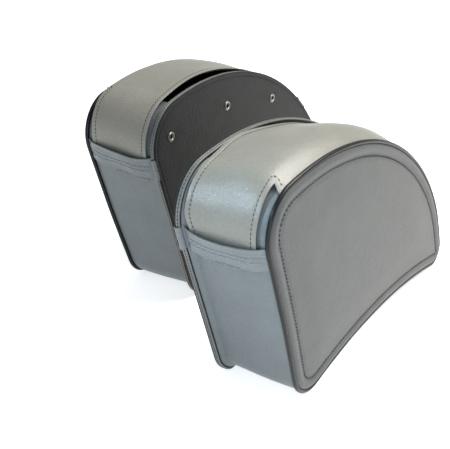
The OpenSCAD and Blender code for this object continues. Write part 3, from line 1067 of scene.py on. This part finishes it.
def keeper(bag, name, start, way):
    """Keeper band, with folded edges and a ridge between its two rows of stitches."""
    x = np.r_[np.linspace(0, 86, 40), np.linspace(87, BAND_LENGTH, 26)]
    t = np.r_[0, 0.03, 0.07, 0.12, 0.2, 0.3, 0.36, 0.4, 0.44, 0.52, 0.58, 0.62, 0.66, 0.76, 0.88, 0.95, 1.0]
    X, T = np.meshgrid(x, t, indexing="ij")
    points = band_point(bag, X, T, start, way)
    folds = 0.9 * hump(T, 0.06) - 0.6 * hump(T - 0.15, 0.05) + 0.8 * hump(T - 1, 0.1)
    rows = -0.6 * (hump(T - BAND_ROWS[0], 0.04) + hump(T - BAND_ROWS[1], 0.04)) + 0.4 * hump(T - 0.51, 0.07)
    relief = folds + rows + 0.35 * ripple(points, 18, SEED_KEEPER)
    points = points + along_normals(start - way * KEEPER_H * T) * relief[..., None]
    return sheet(bag, name, points, grid_faces(len(x), len(t)), "keeper", KEEPER_T, KEEPER_RIM)


def keeper_stitches(bag, name, start, way):
    """Two pale rows across the band, and a short one down its end at the outer seam."""
    runs = []
    rows = [(np.linspace(5, 86, 120), np.full(120, t), 0.15) for t in BAND_ROWS]
    rows.append((np.linspace(6, 2.5, 20), np.linspace(BAND_ROWS[0], 0.15, 20), 0.1))
    for x, t, sunk in rows:
        out = along_normals(start - way * KEEPER_H * t)
        runs.append((band_point(bag, x, t, start, way) - out * sunk, out))
    return stitches(bag, name, runs, MATS["pale_thread"], **PALE_STITCH)


def patch_point(bag, a, t, start, way):
    """Point of the patch a across (0 to 1 from the outer end) and t down, and its path length."""
    v = mix(mix(PATCH_TOP[0], PATCH_LOW[0], t), mix(PATCH_TOP[1], PATCH_LOW[1], t), a)
    drop = follow(KEEPER_DROP[bag.side], v) + KEEPER_SPREAD
    s = start - way * (KEEPER_H - 1.5 + PATCH_H * t + drop)
    return local(s, v, np.full(np.shape(v), -0.3)), s


def patch(bag, name, start, way):
    """Small patch that shows below the band, with a turned lower edge."""
    a, t = np.linspace(0, 1, 30), np.linspace(0, 1, 9)
    A, T = np.meshgrid(a, t, indexing="ij")
    points, s = patch_point(bag, A, T, start, way)
    relief = -0.5 * hump(T - PATCH_ROW, 0.1) + 0.5 * hump(T - 1, 0.12) + 0.2 * ripple(points, 14, SEED_PATCH)
    points = points + along_normals(s) * relief[..., None]
    return sheet(bag, name, points, grid_faces(len(a), len(t)), "keeper", PATCH_T, PATCH_RIM)


def patch_stitches(bag, name, start, way):
    runs = []
    across = (np.linspace(0.06, 0.96, 60), np.full(60, PATCH_ROW))
    down = (np.full(20, 0.05), np.linspace(0.1, PATCH_ROW, 20))
    for a, t in (across, down):
        points, s = patch_point(bag, a, t, start, way)
        out = along_normals(s)
        runs.append((points - out * 0.1, out))
    return stitches(bag, name, runs, MATS["pale_thread"], **PALE_STITCH)


# ---- assembly

def build(side):
    """All the pieces of one bag."""
    bag = Bag(side)
    shell, lid = side + "_shell", side + "_lid"
    fold = [tuple(bag.world((HINGE_U, v, HINGE_Z))) for v in (SEAM_V + 0.5, FOLD_V)]

    def finish(nodes):
        if nodes:
            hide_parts(*[side + "_" + n for n in nodes])

    def fixed(obj, slot, *nodes):
        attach(obj, shell)
        finish(nodes)

    def swung(obj, slot, *nodes):
        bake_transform(obj)
        finish(nodes)

    fixed(outer_face(bag), "face_vinyl", "outer_panel")
    fixed(foam_sheet(bag), "foam", "foam_pad")
    fixed(stitches(bag, "face_stitches", [round_run(GROOVE_D, BORDER[-1][1] - 0.75, 900, -1)],
                   MATS["dark_thread"], length=2.7, pitch=5.0, radius=0.66), "face_vinyl")
    fixed(tube_loop(bag, "piping_cord", PIPING, "piping", 0.25), "piping_vinyl", "piping")
    fixed(gusset(bag), "side_vinyl", "gusset")
    fixed(gusset_lining(bag), "lining", "gusset_lining")
    fixed(plate_lining(bag, "face_cloth", 6.3, 1), "lining", "outer_lining")
    fixed(plate_lining(bag, "back_cloth", 98.9, -1), "lining", "back_lining")
    fixed(tube_loop(bag, "binding_strip", BINDING, "binding", 0.2), "binding_vinyl", "back_binding")
    # The welt's black front is painted shade for the back seam's valley.
    fixed(tube_loop(bag, "seam_welt_and_valley_shade", WELT_AND_VALLEY_SHADE, "back"), "back_vinyl")
    fixed(stitches(bag, "binding_stitches", [round_run(*BINDING_STITCH, 1200)], MATS["dark_thread"],
                   length=2.5, pitch=4.0, radius=0.5), "binding_vinyl")
    fixed(back_panel(bag), "back_vinyl", "back_panel")
    fixed(stitches(bag, "back_stitches", [round_run(*BACK_STITCH, 1200, 1)], MATS["dark_thread"],
                   length=3.0, pitch=4.2, radius=0.4), "back_vinyl")
    fixed(eyelet_part(bag, "eyelet_rings", EYELET, BAG_W), "eyelet_metal", "eyelets")
    fixed(eyelet_part(bag, "eyelet_collars", COLLAR, BAG_W - WALL_STACK), "washer_metal", "eyelet_washers")
    swung(lid_sheet(bag), "lid_vinyl", "hinge_strip", "lid", "tongue_front", "tongue_rear")
    swung(lid_lining(bag), "lining", "lid_lining")
    swung(lid_stitches(bag), "lid_vinyl")
    for end, start, way in (("front", S_KEEP_F, 1), ("rear", S_KEEP_R, -1)):
        fixed(keeper(bag, "keeper_band_" + end, start, way), "keeper_vinyl", "keeper_" + end)
        fixed(keeper_stitches(bag, "keeper_stitches_" + end, start, way), "keeper_vinyl")
        fixed(patch(bag, "patch_cloth_" + end, start, way), "keeper_vinyl", "patch_" + end)
        fixed(patch_stitches(bag, "patch_stitches_" + end, start, way), "keeper_vinyl")


for side in SIDES:
    build(side)

for name in frame["nodes"]:
    obj = bpy.data.objects.get(name)
    if obj is not None and name.endswith("_board"):
        obj.data.materials.clear()
        obj.data.materials.append(MATS["board"])


# ---- stage, light and camera

FLOOR_HALF = 6
SENSOR_MM, LENS_MM = 36, 72.4
CLIP = (0.05, 30)
# The photograph's viewing place and axes, in the left bag's frame
CAMERA_AT = (-613.45, -393.35, 615.29)
CAMERA_RIGHT, CAMERA_UP = (0.57159, -0.82017, -0.02469), (0.38439, 0.24107, 0.89114)


def link_new(name, data):
    obj = bpy.data.objects.new(name, data)
    bpy.context.scene.collection.objects.link(obj)
    return obj


def floor():
    """White floor that gives off some light, so that it stays white under soft shadows."""
    a = FLOOR_HALF
    mesh = bpy.data.meshes.new("floor")
    mesh.from_pydata([(-a, -a, 0), (a, -a, 0), (a, a, 0), (-a, a, 0)], [], [(0, 1, 2, 3)])
    mat = bpy.data.materials.new("floor_white")
    mat.use_nodes = True
    shader = mat.node_tree.nodes["Principled BSDF"]
    shader.inputs["Base Color"].default_value = (0.94, 0.94, 0.94, 1)
    shader.inputs["Roughness"].default_value = 0.7
    shader.inputs["Emission Color"].default_value = (1, 1, 1, 1)
    shader.inputs["Emission Strength"].default_value = 0.62
    mesh.materials.append(mat)
    link_new("floor", mesh)


def light(kind, name, at, target, power, color, **more):
    """Light at a place in the row frame, aimed at a point of the object."""
    data = bpy.data.lights.new(name, kind)
    data.energy, data.color = power, color
    for key, value in more.items():
        setattr(data, key, value)
    obj = link_new(name, data)
    obj.location = at
    obj.rotation_mode = "QUATERNION"
    obj.rotation_quaternion = (Vector(target) - Vector(at)).to_track_quat("-Z", "Y")


def camera():
    data = bpy.data.cameras.new("camera")
    data.sensor_width, data.sensor_fit = SENSOR_MM, "AUTO"
    data.lens = LENS_MM
    data.clip_start, data.clip_end = CLIP
    obj = link_new("camera", data)
    right, up = Vector(CAMERA_RIGHT), Vector(CAMERA_UP)
    obj.location = Bag("left").world(CAMERA_AT, settled=False)
    obj.rotation_mode = "QUATERNION"
    obj.rotation_quaternion = Matrix((right, up, right.cross(up))).transposed().to_quaternion()
    bpy.context.scene.camera = obj


floor()
light("AREA", "top", (0.40, -0.50, 1.20), (0.05, -0.15, 0.1), 28, (1.0, 0.97, 0.90),
      shape="DISK", size=0.9)
light("SPOT", "shoulder", (-0.86, 0.30, 0.80), (-0.26, -0.13, 0.262), 52, (0.62, 0.83, 1.0),
      shadow_soft_size=0.09, spot_size=math.radians(12), spot_blend=0.8)
light("AREA", "front", (-0.80, -0.62, 0.34), (-0.25, -0.15, 0.1), 3.4, (0.72, 0.87, 1.0),
      shape="DISK", size=0.4)
world = bpy.data.worlds.new("studio")
bpy.context.scene.world = world
world.use_nodes = True
background = world.node_tree.nodes["Background"].inputs
background["Color"].default_value = (0.96, 0.98, 1.0, 1)
background["Strength"].default_value = 0.50
bpy.context.scene.view_settings.view_transform = "Standard"
camera()
